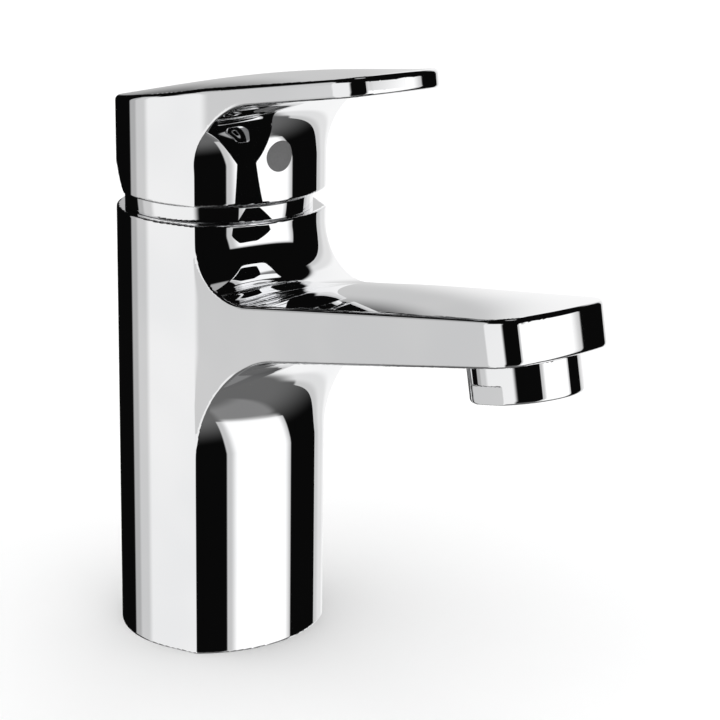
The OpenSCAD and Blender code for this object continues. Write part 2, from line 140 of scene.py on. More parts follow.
@dataclass(frozen=True)
class Footprint:
    """Plan of the column or the lever's cap: round back, straight sides to two creases, flat front arc."""

    radius: float
    front: float
    crease_f: float
    crease_l: float
    edge: float

    def back(self, f: Array, side: Array) -> Array:
        """Distance to the round back and the straight sides, which run on forward past the creases.

        Formula: behind the tangent points the distance to the back circle, and ahead of them the distance to
        the straight side through the crease.

        Args:
            f: Distance forward of the axis.
            side: Distance sideways from the symmetry plane.

        Returns:
            Distance in the plan, negative inside.
        """
        reach = math.hypot(self.crease_f, self.crease_l)
        turn = math.atan2(self.crease_l, self.crease_f) + math.acos(self.radius / reach)
        across = np.abs(side)
        straight = (f - self.crease_f) * math.cos(turn) + (across - self.crease_l) * math.sin(turn)
        ahead = f * math.sin(turn) - across * math.cos(turn) > 0
        return np.where(ahead, straight, np.hypot(f, side) - self.radius)

    def front_radius(self) -> float:
        """Radius of the front arc, through the front point and both creases."""
        return arc_radius(self.crease_l, self.front - self.crease_f)

    def arc(self, f: Array, side: Array) -> Array:
        """Distance to the disc whose edge is the front arc."""
        arc = self.front_radius()
        return np.hypot(f - self.front + arc, side) - arc


@dataclass(frozen=True)
class Blade:
    """A flat arm that grows out of a column: the spout, or the plate of the lever."""

    root_f: float
    root_l: float
    reach: float
    half: float
    bulge: float
    lean: float
    tip_z: float
    low_z: float
    low_rise: float
    low_root: float
    corner: float
    edge: float

    def width(self, f: Array) -> Array:
        """Half the plan's width: a straight line from the root's crease to the tip's corner."""
        return self.root_l + (self.half - self.root_l) / (self.reach - self.root_f) * (f - self.root_f)

    def plan(self, f: Array, side: Array, z: Array) -> Array:
        """Distance to the arm seen from above.

        Formula: distance to the slanted side line, rounded into a leaning cylinder whose arc passes through
        both tip corners and stands out by the bulge between them.
        """
        slope = math.atan((self.half - self.root_l) / (self.reach - self.root_f))
        flank = (np.abs(side) - self.width(f)) * math.cos(slope)
        lean = math.radians(self.lean)
        out = (f - self.reach) * math.cos(lean) + (z - self.tip_z) * math.sin(lean)
        arc = arc_radius(self.half, self.bulge)
        return round_and(flank, np.hypot(np.maximum(out - self.bulge + arc, 0), side) - arc, self.corner)

    def under(self, f: Array, z: Array, wall: Array) -> Array:
        """Distance to what lies above the underside: a rising line joined to its wall by a fillet."""
        rise = math.radians(self.low_rise)
        line = (self.low_z + math.tan(rise) * f - z) * math.cos(rise)
        return round_or(line, wall, self.low_root)


@dataclass(frozen=True)
class Hole:
    """An upright drilled hole, or a pair of them either side of the symmetry plane."""

    f: float
    side: float
    radius: float
    mid_z: float
    half: float

    def distance(self, f: Array, x: Array, z: Array) -> Array:
        """Distance to the drilled space: a cylinder between two heights."""
        run = np.hypot(f - self.f, np.abs(x) - self.side)
        return np.maximum(run - self.radius, np.abs(z - self.mid_z) - self.half)


# ---------------------------------------------------------------------------------------------------------
# Skins: closed meshes at the zero level of a distance.
# ---------------------------------------------------------------------------------------------------------


def graded(*marks: float) -> Array:
    """Positions along an axis, as close together as each stretch needs.

    Args:
        marks: A position, the spacing from there on, the next position, and so on, ending with a position.

    Returns:
        Rising positions in millimetres.
    """
    stretches = [
        np.linspace(start, end, math.ceil((end - start) / spacing), endpoint=False)
        for start, spacing, end in zip(marks[0::2], marks[1::2], marks[2::2])
    ]
    return np.append(np.concatenate(stretches), marks[-1])


@dataclass(frozen=True)
class Skin:
    """Turns a distance into a closed mesh with exact normals.

    Columns that flow into arms through fillets, with bores in them, have no one grid of their own, so these
    castings are meshed where their distance is 0. Round pieces are turned grids instead.
    """

    name: str
    distance: Field
    across: tuple[float, ...]
    along: tuple[float, ...]
    up: tuple[float, ...]
    pulls: int = 4
    longest_pull: float = 0.25
    least_square: float = 0.2

    def axes(self) -> tuple[Array, ...]:
        """Grid positions on x, y and z, from the marks of each axis."""
        return tuple(graded(*marks) for marks in (self.across, self.along, self.up))

    def _vertices(self, level: Array, cells: Array) -> Array:
        """One point in each cell that the surface crosses.

        Formula: the mean of the points where the level is 0 on the cell's twelve edges, by straight
        interpolation.

        Args:
            level: Distance at every grid node.
            cells: Indices of the crossed cells, one row each.

        Returns:
            Points in millimetres.
        """
        corners = np.array([[i, j, k] for i in (0, 1) for j in (0, 1) for k in (0, 1)])
        values = np.stack([level[tuple((cells + c).T)] for c in corners], axis=1)
        total, count = np.zeros(cells.shape), np.zeros(len(cells))
        for a in range(8):
            for b in range(a + 1, 8):
                if np.abs(corners[a] - corners[b]).sum() != 1:
                    continue
                crossed = (values[:, a] < 0) != (values[:, b] < 0)
                fall = np.where(crossed, values[:, a] - values[:, b], 1)
                share = np.where(crossed, values[:, a] / fall, 0)
                total += crossed[:, None] * (corners[a] + share[:, None] * (corners[b] - corners[a]))
                count += crossed
        places = cells + total / count[:, None]
        return np.stack([np.interp(n, np.arange(len(a)), a) for n, a in zip(places.T, self.axes())], axis=1)

    def _quads(self, inside: Array, number: Array) -> Array:
        """A quad round every grid edge whose two ends lie on opposite sides of the surface.

        Args:
            inside: Whether each grid node is inside.
            number: Vertex number of each cell, or -1.

        Returns:
            Vertex numbers of the quads, facing outwards.
        """
        quads = []
        for a in range(3):
            b, c = (a + 1) % 3, (a + 2) % 3
            first = np.moveaxis(inside, (a, b, c), (0, 1, 2))[:, 1:-1, 1:-1]
            cell = np.moveaxis(number, (a, b, c), (0, 1, 2))
            out = first[:-1] & ~first[1:]
            back = ~first[:-1] & first[1:]
            around = [cell[:, :-1, :-1], cell[:, 1:, :-1], cell[:, 1:, 1:], cell[:, :-1, 1:]]
            ring = np.stack(around, axis=-1)
            quads += [ring[out], ring[back][:, ::-1]]
        return np.concatenate(quads)

    def gradient(self, p: Array, h: float = 0.01) -> Array:
        """Slope of the distance at points, by central differences over h."""
        steps = h * np.eye(3)
        rises = [self.distance(*(p + s).T) - self.distance(*(p - s).T) for s in steps]
        return np.stack([rise / (2 * h) for rise in rises], axis=1)

    def build(self) -> bpy.types.Object:
        """Samples the distance on a grid, meshes its zero level and pulls each vertex onto it.

        Formula of the pull: a point moves back by distance times slope over slope squared, a few times over.

        Returns:
            The new object, linked to the scene, in metres.
        """
        axes = self.axes()
        grid = np.meshgrid(*axes, indexing="ij", sparse=True)
        level = np.ascontiguousarray(np.broadcast_to(self.distance(*grid), [len(a) for a in axes]))
        inside = level < 0
        whole = inside.astype(np.int8)
        count = sum(
            whole[i : i + whole.shape[0] - 1, j : j + whole.shape[1] - 1, k : k + whole.shape[2] - 1]
            for i in (0, 1) for j in (0, 1) for k in (0, 1)
        )
        crossed = (count > 0) & (count < 8)
        cells = np.argwhere(crossed)
        number = np.full(crossed.shape, -1)
        number[crossed] = np.arange(len(cells))
        p = self._vertices(level, cells)
        for _ in range(self.pulls):
            g = self.gradient(p)
            move = g * (self.distance(*p.T) / np.maximum((g**2).sum(1), self.least_square))[:, None]
            p -= np.clip(move, -self.longest_pull, self.longest_pull)
        normals = self.gradient(p)
        normals /= np.maximum(np.linalg.norm(normals, axis=1), 1e-9)[:, None]
        return new_mesh(self.name, p * MM, self._quads(inside, number), normals)


def new_mesh(name: str, points: Array, quads: Array, normals: Array | None = None) -> bpy.types.Object:
    """Writes points and quads into a new smooth mesh object.

    Args:
        name: Name of the piece.
        points: Points in metres, one row each.
        quads: Four vertex numbers to a row.
        normals: Unit normals, one to a point, or None for the mesh's own.

    Returns:
        The new object, linked to the scene.
    """
    mesh = bpy.data.meshes.new(name)
    mesh.vertices.add(len(points))
    mesh.vertices.foreach_set("co", points.astype(np.float32).ravel())
    mesh.loops.add(quads.size)
    mesh.loops.foreach_set("vertex_index", quads.astype(np.int32).ravel())
    mesh.polygons.add(len(quads))
    mesh.polygons.foreach_set("loop_start", np.arange(0, quads.size, 4, dtype=np.int32))
    mesh.polygons.foreach_set("use_smooth", np.ones(len(quads), bool))
    mesh.update(calc_edges=True)
    mesh.validate()
    if normals is not None:
        mesh.normals_split_custom_set_from_vertices(normals.tolist())
    piece = bpy.data.objects.new(name, mesh)
    bpy.context.scene.collection.objects.link(piece)
    return piece


def tube_quads(rows: int, turns: int, closed: bool) -> Array:
    """Quads between neighbouring rows of a grid whose columns run all the way round.

    Args:
        rows: Number of section points.
        turns: Number of points round the axis.
        closed: Whether the last row joins the first.

    Returns:
        Vertex numbers, four to a row, with the caps left out.
    """
    i, j = np.meshgrid(np.arange(rows if closed else rows - 1), np.arange(turns), indexing="ij")
    i1, j1 = (i + 1) % rows, (j + 1) % turns
    return np.stack([a * turns + b for a, b in ((i, j), (i, j1), (i1, j1), (i1, j))], -1).reshape(-1, 4)


# ---------------------------------------------------------------------------------------------------------
# The rebuilt pieces
# ---------------------------------------------------------------------------------------------------------


@dataclass
class ColumnAndSpout:
    """The cast body: upright column, rising spout, base recess, cartridge bore and hose holes."""

    height: float = 107.5
    footprint: Footprint = Footprint(25.0, 24.0, 17.01, 19.99, 0.3)
    taper: float = 0.010
    spout: Blade = Blade(16.88, 19.84, 115.2, 15.8, 2.4, 12.0, 105.66, 71.11, 12.0, 23.5, 5.0, 1.0)
    edge_start: float = 22.0
    edge_end: float = 34.0
    top_z: float = 86.0
    top_rise: float = 9.7
    top_root: float = 14.8
    pillow: float = 2.6
    pillow_f: float = 68.0
    pillow_reach: float = 50.0
    recess_r: float = 19.0
    recess_h: float = 34.0
    recess_edge: float = 0.6
    groove_r: float = 21.6
    groove_half: float = 1.2
    groove_h: float = 2.0
    hoses: Hole = Hole(-6.0, 7.5, 4.5, 40.0, 6.1)
    stud: Hole = Hole(4.0, 0.0, 3.4, 43.0, 9.1)
    seat_z: float = 82.0
    neck_z: float = 101.0
    bore_r: float = 17.55
    nut_r: float = 20.03
    bore_edge: float = 0.25
    rim_edge: float = 0.45
    foot_edge: float = 0.35
    blend: float = 1.6
    blend_in: tuple[float, float] = (64.0, 78.0)
    blend_out: tuple[float, float] = (88.0, 101.0)
    across: tuple[float, ...] = (-27.0, 0.62, 27.0)
    along: tuple[float, ...] = (-120.0, 0.52, -106.0, 1.5, -32.0, 0.64, 27.0)
    up: tuple[float, ...] = (-1.0, 0.45, 3.0, 1.8, 31.0, 1.3, 56.0, 0.6, 109.5)

    def slab(self, f: Array, x: Array, z: Array, wall: Array) -> Array:
        """Distance to what lies behind the column's front wall or between the spout's underside and its top.

        Formula: the underside and the top are rising lines, each joined to the wall by its own fillet. The
        top also carries a pillow, a parabola across the width and along the length.
        """
        rise = math.radians(self.top_rise)
        crosswise = np.clip(1 - (x / self.spout.width(f)) ** 2, 0, 1)
        share = crosswise * np.clip(1 - ((f - self.pillow_f) / self.pillow_reach) ** 2, 0, 1)
        top = (z - self.top_z - math.tan(rise) * f - self.pillow * share) * math.cos(rise)
        return np.maximum(self.spout.under(f, z, wall), round_or(top, wall, self.top_root))

    def hollow(self, f: Array, x: Array, z: Array) -> Array:
        """Distance to all that is bored out.

        Formula: the least of the distances to the base recess, the gasket's groove, the hose and stud holes,
        the cartridge's seat and the nut's thread.
        """
        r = np.hypot(f, x)
        recess = round_and(r - self.recess_r, z - self.recess_h, self.recess_edge)
        groove = np.maximum(np.abs(r - self.groove_r) - self.groove_half, z - self.groove_h)
        seat = np.maximum(r - self.bore_r, self.seat_z - z)
        thread = np.maximum(r - self.nut_r, self.neck_z - z)
        cuts = [recess, groove, self.hoses.distance(f, x, z), self.stud.distance(f, x, z), seat, thread]
        return np.minimum.reduce(np.broadcast_arrays(*cuts))

    def distance(self, x: Array, y: Array, z: Array) -> Array:
        """Distance to the whole casting, in the frame's own axes.

        Formula: in plan, the column's back and sides run softly into the spout's flanks, most where the
        spout is deepest. That plan overlaps the slab with a rounded edge, between the two ends of the
        column, less the hollow. The column shrinks a little with height.
        """
        f = -y
        share = 1 - self.taper * z / self.height
        sides = self.footprint.back(f / share, x / share) * share
        wall = self.footprint.arc(f / share, x / share) * share
        soft = LEAST_BLEND + self.blend * ramp(z, *self.blend_in) * (1 - ramp(z, *self.blend_out))
        plan = soft_or(sides, np.maximum(self.spout.plan(f, x, z), -f), soft)
        growth = (self.spout.edge - self.footprint.edge) * ramp(f, self.edge_start, self.edge_end)
        solid = round_and(plan, self.slab(f, x, z, wall), self.footprint.edge + growth)
        solid = round_and(round_and(solid, z - self.height, self.rim_edge), -z, self.foot_edge)
        return round_and(solid, -self.hollow(f, x, z), self.bore_edge)

    def build(self) -> bpy.types.Object:
        """Meshes the casting."""
        return Skin("tap_casting", self.distance, self.across, self.along, self.up).build()


@dataclass
class LeverCasting:
    """The lever: a hollow cap over the body and a thin rising plate, with the boss that takes the stem."""

    cap_z: float = 111.8
    footprint: Footprint = Footprint(24.7, 23.7, 16.81, 19.75, 0.3)
    plate: Blade = Blade(16.81, 19.75, 65.0, 13.8, 2.0, 10.0, 147.37, 131.7, 10.0, 13.6, 5.0, 0.9)
    edge_start: float = 22.0
    edge_end: float = 32.0
    top_z: float = 136.0
    top_edge: float = 1.1
    slope: float = 10.0
    crown: float = 2.2
    crown_half: float = 24.7
    crown_pinch: float = 4.95
    crown_pinch_start: float = -2.0
    crown_pinch_end: float = 17.0
    crown_taper: float = 0.15
    crown_f: float = 20.0
    crown_reach: float = 47.0
    heel_f: tuple[float, ...] = (-26.0, -11.0, -6.5, -5.5)
    heel_high: tuple[float, float] = (120.4, 117.25)
    heel_step: float = 0.7
    heel_end: float = -6.0
    heel_scale: float = 0.8
    heel_edge: float = 0.5
    wall: float = 3.2
    inner_r: float = 21.5
    inner_f: float = 20.5
    inner_arc: float = 31.9
    inner_edge: float = 1.5
    roof: float = 4.3
    roof_scale: float = 0.985
    skirt_r: float = 23.15
    skirt_wall: float = 1.4
    skirt_h: float = 4.7
    shell_edge: float = 0.3
    boss_r: float = 9.0
    boss_low: float = 10.5
    boss_roof: float = 1.0
    screw_r: float = 4.8
    screw_f: float = 12.4
    screw_half: float = 4.4
    socket_half: float = 5.03
    socket_top: float = 23.0
    key_r: float = 2.9
    key_start: float = 14.0
    key_end: float = 22.0
    bore_edge: float = 0.15
    indicator_z: float = 122.8
    pin_z: float = 104.0
    stem_lean: float = 10.0
    blend: float = 1.5
    blend_in: tuple[float, float] = (118.0, 130.0)
    across: tuple[float, ...] = (-26.0, 0.46, 26.0)
    along: tuple[float, ...] = (-69.0, 0.46, 26.0)
    up: tuple[float, ...] = (110.5, 0.46, 149.5)

    def outside(self, f: Array, x: Array, z: Array) -> Array:
        """Distance to the lever before it is hollowed.

        Formula: the cap's back and sides run softly into the plate's flanks, and overlap what lies behind
        the cap's front or above the plate's underside. All of it is under a sloping top that carries a
        crown, which is a parabola across the width and along the length, and above a heel line that steps up
        behind the axis.
        """
        soft = LEAST_BLEND + self.blend * ramp(z, *self.blend_in)
        plan = soft_or(self.footprint.back(f, x), np.maximum(self.plate.plan(f, x, z), -f), soft)
        slab = self.plate.under(f, z, self.footprint.arc(f, x))
        growth = (self.plate.edge - self.footprint.edge) * ramp(f, self.edge_start, self.edge_end)
        solid = round_and(plan, slab, self.footprint.edge + growth)
        pinch = self.crown_pinch * ramp(f, self.crown_pinch_start, self.crown_pinch_end)
        width = self.crown_half - pinch - self.crown_taper * np.maximum(f - self.crown_pinch_end, 0)
        lengthwise = np.clip(1 - ((f - self.crown_f) / self.crown_reach) ** 2, 0, 1)
        share = np.clip(1 - (x / width) ** 2, 0, 1) * lengthwise
        rise = math.radians(self.slope)
        top = (z - self.top_z - math.tan(rise) * f - self.crown * share) * math.cos(rise)
        heel_z = (*self.heel_high, self.cap_z + self.heel_step, self.cap_z)
        heel = (np.interp(f, self.heel_f, heel_z) - z) * np.where(f < self.heel_end, self.heel_scale, 1.0)
        return round_and(round_and(solid, heel, self.heel_edge), top, self.top_edge)

    def inner_front(self, f: Array, x: Array, wall: float) -> Array:
        """Distance to the disc whose edge is the cap's inner front wall, at a given wall."""
        return np.hypot(f - self.inner_f + self.inner_arc - self.wall, x) - self.inner_arc + wall

    def hollow(self, f: Array, x: Array, z: Array) -> Array:
        """Distance to the space inside the cap.

        Formula: the cap's outline moved in by the wall, under a roof as steep as the top, joined with a
        wider and lower skirt that clears the trim ring.
        """
        inner = np.maximum(np.hypot(f, x) - self.inner_r, self.inner_front(f, x, self.wall))
        roof = (z - self.top_z + self.roof - math.tan(math.radians(self.slope)) * f) * self.roof_scale
        skirt = np.maximum(np.hypot(f, x) - self.skirt_r, self.inner_front(f, x, self.skirt_wall))
        skirt = np.maximum(skirt, z - self.cap_z - self.skirt_h)
        return np.minimum(round_and(inner, roof, self.inner_edge), skirt)

    def stem_coordinates(self, f: Array, z: Array) -> tuple[Array, Array]:
        """Coordinates across and along the stem, which leans forward about the pivot pin."""
        c, s = math.cos(math.radians(self.stem_lean)), math.sin(math.radians(self.stem_lean))
        return f * c - (z - self.pin_z) * s, f * s + (z - self.pin_z) * c

    def distance(self, x: Array, y: Array, z: Array) -> Array:
        """Distance to the finished lever, in the frame's own axes.

        Formula: outside less hollow, plus the bosses of the stem and of the grub screw under their roof,
        less the square socket of the stem and the keyway of the screw.
        """
        f = -y
        across, along = self.stem_coordinates(f, z)
        run = np.hypot(x, z - self.indicator_z)
        shell = round_and(self.outside(f, x, z), -self.hollow(f, x, z), self.shell_edge)
        boss = np.maximum(np.hypot(across, x) - self.boss_r, self.boss_low - along)
        screw = np.maximum(run - self.screw_r, np.abs(f - self.screw_f) - self.screw_half)
        roof = z - self.top_z + self.boss_roof - math.tan(math.radians(self.slope)) * f
        solid = np.minimum(shell, np.maximum(np.minimum(boss, screw), roof))
        square = np.maximum(np.abs(across) - self.socket_half, np.abs(x) - self.socket_half)
        socket = np.maximum(square, along - self.socket_top)
        key = np.maximum(np.maximum(run - self.key_r, self.key_start - f), f - self.key_end)
        bores = np.minimum.reduce(np.broadcast_arrays(socket, key))
        return round_and(solid, -bores, self.bore_edge)

    def build(self) -> bpy.types.Object:
        """Meshes the lever."""
        return Skin("lever_casting", self.distance, self.across, self.along, self.up).build()


@dataclass
class TrimRing:
    """The polished ring between body and lever: a short tube with a low dome over the nut."""

    radius: float = 22.75
    wall: float = 1.3
    low: float = 107.5
    low_edge: float = 0.25
    top: float = 111.4
    top_edge: float = 0.4
    lid: float = 1.2
    dome_foot: float = 19.5
    dome: float = 1.5
    hole: float = 12.4
    hole_low: float = 0.3
    sharp: float = 35.0
    segments: int = 180

    def profile(self) -> Array:
        """Closed section in the r, z plane, with its two outer edges turned over by quarter circles."""
        turn = np.radians(np.linspace(0, 90, 6))
        low_r, low_z = self.radius - self.low_edge, self.low + self.low_edge
        top_r, top_z = self.radius - self.top_edge, self.top - self.top_edge
        low = np.stack([low_r + self.low_edge * np.sin(turn), low_z - self.low_edge * np.cos(turn)], 1)
        high = np.stack([top_r + self.top_edge * np.cos(turn), top_z + self.top_edge * np.sin(turn)], 1)
        inner = self.radius - self.wall
        rest = [
            [self.dome_foot, self.top],
            [self.hole, self.top + self.dome],
            [self.hole, self.top + self.hole_low],
            [self.dome_foot, self.top - self.lid],
            [inner, self.top - self.lid],
            [inner, self.low],
        ]
        return np.concatenate([low, high, np.array(rest)])

    def build(self) -> bpy.types.Object:
        """Turns the section about the axis.

        Formula: x is r times the cosine of the turn, y is r times its sine, over a grid of section points
        and turns.
        """
        section = self.profile()
        turn = np.linspace(0, 2 * np.pi, self.segments, endpoint=False)
        r, z = section[:, 0][:, None], section[:, 1][:, None]
        points = np.stack([r * np.cos(turn), r * np.sin(turn), z + 0 * turn], axis=-1).reshape(-1, 3)
        ring = new_mesh("trim_ring", points * MM, tube_quads(len(section), self.segments, True))
        ring.data.set_sharp_from_angle(angle=math.radians(self.sharp))
        return ring


@dataclass
class IndicatorButton:
    """The round hot and cold mark, a shade proud of the lever's curved front, with a softened rim."""

    lever: LeverCasting
    radius: float = 3.7
    proud: float = 0.16
    depth: float = 1.4
    rim: float = 0.2
    flat_inset: float = 0.25
    hub: float = 0.02
    segments: int = 96

    def section(self) -> Array:
        """Section from the hub over the face, round the rim and back to the hub, as radius and height."""
        turn = np.radians(np.linspace(90, 0, 7))
        rim_r, rim_h = self.radius - self.rim, self.proud - self.rim
        rim = np.stack([rim_r + self.rim * np.cos(turn), rim_h + self.rim * np.sin(turn)], 1)
        flat_r = np.linspace(self.hub, self.radius - self.flat_inset, 10)
        flat = np.stack([flat_r, np.full(len(flat_r), self.proud)], 1)
        back = np.array([[self.radius, -self.depth], [self.hub, -self.depth]])
        return np.concatenate([flat, rim, back])

    def build(self) -> bpy.types.Object:
        """Wraps a disc over the lever's front.

        Formula: on a grid of section points and turns, x and z lie on circles about the mark's centre, and y
        is the front arc's at that x, moved out by the quarter circle of the plate's fillet at that z and by
        the section's own height.
        """
        section = self.section()
        angle = np.linspace(0, 2 * np.pi, self.segments, endpoint=False)
        x = section[:, :1] * np.cos(angle)
        z = self.lever.indicator_z + section[:, :1] * np.sin(angle)
        plan, plate = self.lever.footprint, self.lever.plate
        arc = plan.front_radius()
        wall = plan.front - arc + np.sqrt(arc**2 - x**2)
        rise = math.radians(plate.low_rise)
        climb = np.maximum(plate.low_root - (plate.low_z + math.tan(rise) * wall - z) * math.cos(rise), 0)
        f = wall + plate.low_root - np.sqrt(plate.low_root**2 - climb**2) + section[:, 1:]
        points = np.stack([x, -f, z], axis=-1).reshape(-1, 3)
        quads = tube_quads(len(section), self.segments, False)[:, ::-1]
        return new_mesh("indicator_button", points * MM, quads)


@dataclass
class OutletCollar:
    """The screwed collar that holds the aerator, with two spanner flats and a turned edge."""

    radius: float = 12.0
    height: float = 8.4
    thread_r: float = 11.0
    thread_h: float = 3.3
    thread_root: float = 0.5
    reach: float = 106.0
    base_z: float = 93.64
    lean: float = 12.0
    bore_r: float = 9.73
    outlet_r: float = 8.9
    lip: float = 1.2
    flat_depth: float = 1.0
    flat_drop: float = 4.3
    rim_edge: float = 0.8
    seat_gap: float = 0.02
    seat_edge: float = 0.25
    cut_edge: float = 0.2
    across: tuple[float, ...] = (-13.0, 0.3, 13.0)
    along: tuple[float, ...] = (-120.5, 0.3, -92.0)
    up: tuple[float, ...] = (82.0, 0.3, 101.0)

    def distance(self, x: Array, y: Array, z: Array) -> Array:
        """Distance to the collar.

        Formula: in coordinates along its own leaning axis, a disc with rounded edges plus the thread's
        cylinder, less the stepped bore, and less what lies beyond the flats below their shoulder.
        """
        a = math.radians(self.lean)
        f = -y - self.reach
        out = f * math.cos(a) + (z - self.base_z) * math.sin(a)
        up = -f * math.sin(a) + (z - self.base_z) * math.cos(a)
        r = np.hypot(out, x)
        disc = round_and(r - self.radius, -up - self.height, self.rim_edge)
        ring = round_and(disc, up + self.seat_gap, self.seat_edge)
        span = np.abs(up - self.thread_h / 2 + self.thread_root) - self.thread_h / 2 - self.thread_root
        thread = np.maximum(r - self.thread_r, span)
        bore = np.minimum(np.maximum(r - self.bore_r, -up - self.height + self.lip), r - self.outlet_r)
        flats = round_and(self.radius - self.flat_depth - np.abs(x), up + self.flat_drop, self.cut_edge)
        solid = round_and(np.minimum(ring, thread), -bore, self.cut_edge)
        return round_and(solid, -flats, self.cut_edge)

    def build(self) -> bpy.types.Object:
        """Meshes the collar."""
        return Skin("outlet_collar", self.distance, self.across, self.along, self.up).build()


# ---------------------------------------------------------------------------------------------------------
# Finishes: node materials, written as arithmetic on sockets.
# ---------------------------------------------------------------------------------------------------------


@dataclass(frozen=True)
class Graph:
    """A node tree, and the one method that adds any node to it."""

    tree: bpy.types.NodeTree

    def add(self, kind: str, sockets: dict[str | int, object], **settings: object) -> bpy.types.Node:
        """Adds a node.

        Args:
            kind: Blender's name for the node, without the ShaderNode prefix.
            sockets: For each input, by name or number, a wire to link or a value to set.
            **settings: Attributes of the node, which are set first.

        Returns:
            The new node.
        """
        node = self.tree.nodes.new("ShaderNode" + kind)
        for key, value in settings.items():
            setattr(node, key, value)
        for key, value in sockets.items():
            if isinstance(value, Wire):
                self.tree.links.new(value.socket, node.inputs[key])
            else:
                node.inputs[key].default_value = value
        return node

    def wire(
        self, kind: str, sockets: dict[str | int, object], output: str | int = 0, **settings: object
    ) -> "Wire":
        """Adds a node and returns the output of that name or number."""
        return Wire(self, self.add(kind, sockets, **settings).outputs[output])

    def place(self) -> "Wire":
        """The object's own coordinates, in metres."""
        return self.wire("TexCoord", {}, "Object")

    def noise(self, scale: float, detail: float, stretch: tuple[float, float, float] = (1, 1, 1)) -> "Wire":
        """Noise around 0.5 on the object's coordinates, in features per metre, stretched along the axes."""
        spread = self.wire("Mapping", {"Vector": self.place(), "Scale": stretch}, "Vector")
        sockets = {"Vector": spread, "Scale": scale, "Detail": detail, "Roughness": 0.55}
        return self.wire("TexNoise", sockets, "Fac")

    def blend(self, share: "Wire", low: Colour, high: Colour) -> "Wire":
        """A colour between two, by share. The Mix node's colours are its inputs 6 and 7 and its output 2."""
        return self.wire("Mix", {"Factor": share, 6: (*low, 1), 7: (*high, 1)}, 2, data_type="RGBA")


@dataclass(frozen=True)
class Wire:
    """An output socket that can be added, subtracted, multiplied and divided like a number."""

    graph: Graph
    socket: bpy.types.NodeSocket

    def math(self, operation: str, *others: "Wire | float") -> "Wire":
        """One Math node with this wire as its first input."""
        return self.graph.wire("Math", dict(enumerate((self, *others))), operation=operation)

    def __add__(self, other: "Wire | float") -> "Wire":
        """Sum."""
        return self.math("ADD", other)

    def __sub__(self, other: "Wire | float") -> "Wire":
        """Difference."""
        return self.math("SUBTRACT", other)

    def __rsub__(self, other: float) -> "Wire":
        """A number less this wire."""
        return self.graph.wire("Math", {0: other, 1: self}, operation="SUBTRACT")

    def __mul__(self, other: "Wire | float") -> "Wire":
        """Product."""
        return self.math("MULTIPLY", other)

    def __rmul__(self, other: float) -> "Wire":
        """A number times this wire."""
        return self.math("MULTIPLY", other)

    def __truediv__(self, other: "Wire | float") -> "Wire":
        """Quotient."""
        return self.math("DIVIDE", other)

    def step(self, start: float, end: float) -> "Wire":
        """Smooth step: 0 at start, 1 at end. Start may lie above end."""
        t = ((self - start) / (end - start)).math("MINIMUM", 1.0).math("MAXIMUM", 0.0)
        return t * t * (3.0 - 2.0 * t)

    def window(self, start: float, end: float, soft: float) -> "Wire":
        """1 between start and end, falling to 0 over the soft width outside them."""
        return self.step(start - soft, start) * self.step(end + soft, end)


@dataclass(frozen=True)
class Finish:
    """A surface finish: two tones mixed by grain, a varying roughness and a fine relief."""

    slot: str
    dark: Colour
    light: Colour
    roughness: tuple[float, float]
    metallic: float = 0.0
    grain: float = 900.0
    grains_to_cloud: float = 14.0
    stretch: tuple[float, float, float] = (1, 1, 1)
    relief: float = 0.05
    relief_depth: float = 0.00005
    specular: float = 0.5
    coat: float = 0.0
    coat_roughness: float = 0.08

    def detail(self, graph: Graph) -> tuple[Wire, Wire, Wire]:
        """Shares for the tone, the roughness and the relief height.

        Formula: tone is six tenths broad clouds and four tenths grain, roughness follows the clouds, and
        relief is the grain alone.
        """
        grain = graph.noise(self.grain, 4.0, self.stretch)
        clouds = graph.noise(self.grain / self.grains_to_cloud, 2.0)
        return clouds * 0.6 + grain * 0.4, clouds.step(0.3, 0.7), grain

    def material(self) -> bpy.types.Material:
        """Builds the material once and returns it on later calls."""
        name = "finish_" + self.slot
        if name in bpy.data.materials:
            return bpy.data.materials[name]
        made = bpy.data.materials.new(name)
        made.use_nodes = True
        made.node_tree.nodes.clear()
        graph = Graph(made.node_tree)
        tone, wear, height = self.detail(graph)
        low, high = self.roughness
        bump = {"Strength": self.relief, "Distance": self.relief_depth, "Height": height}
        sockets = {
            "Base Color": graph.blend(tone.step(0.3, 0.7), self.dark, self.light),
            "Roughness": wear * (high - low) + low,
            "Metallic": self.metallic,
            "Specular IOR Level": self.specular,
            "Coat Weight": self.coat,
            "Coat Roughness": self.coat_roughness,
            "Normal": graph.wire("Bump", bump, "Normal"),
        }
        graph.add("OutputMaterial", {"Surface": graph.wire("BsdfPrincipled", sockets, "BSDF")})
        return made


@dataclass(frozen=True)
class PolishedChrome(Finish):
    """Bright plate with a breath of haze, faint wiping marks and minute pits that dull it a little."""

    def detail(self, graph: Graph) -> tuple[Wire, Wire, Wire]:
        """Shares for the tone, the roughness and the relief height.

        Formula: tone is broad haze. Roughness adds haze, wiping marks drawn out along z and sparse specks.
        Relief is broad and soft.
        """
        haze = graph.noise(28.0, 2.0)
        marks = graph.noise(260.0, 3.0, (1.0, 1.0, 0.12))
        specks = graph.noise(2600.0, 1.0).step(0.74, 0.8)
        wear = haze.step(0.35, 0.8) * 0.6 + marks.step(0.55, 0.8) * 0.3 + specks * 0.4
        return haze, wear, graph.noise(60.0, 1.0)


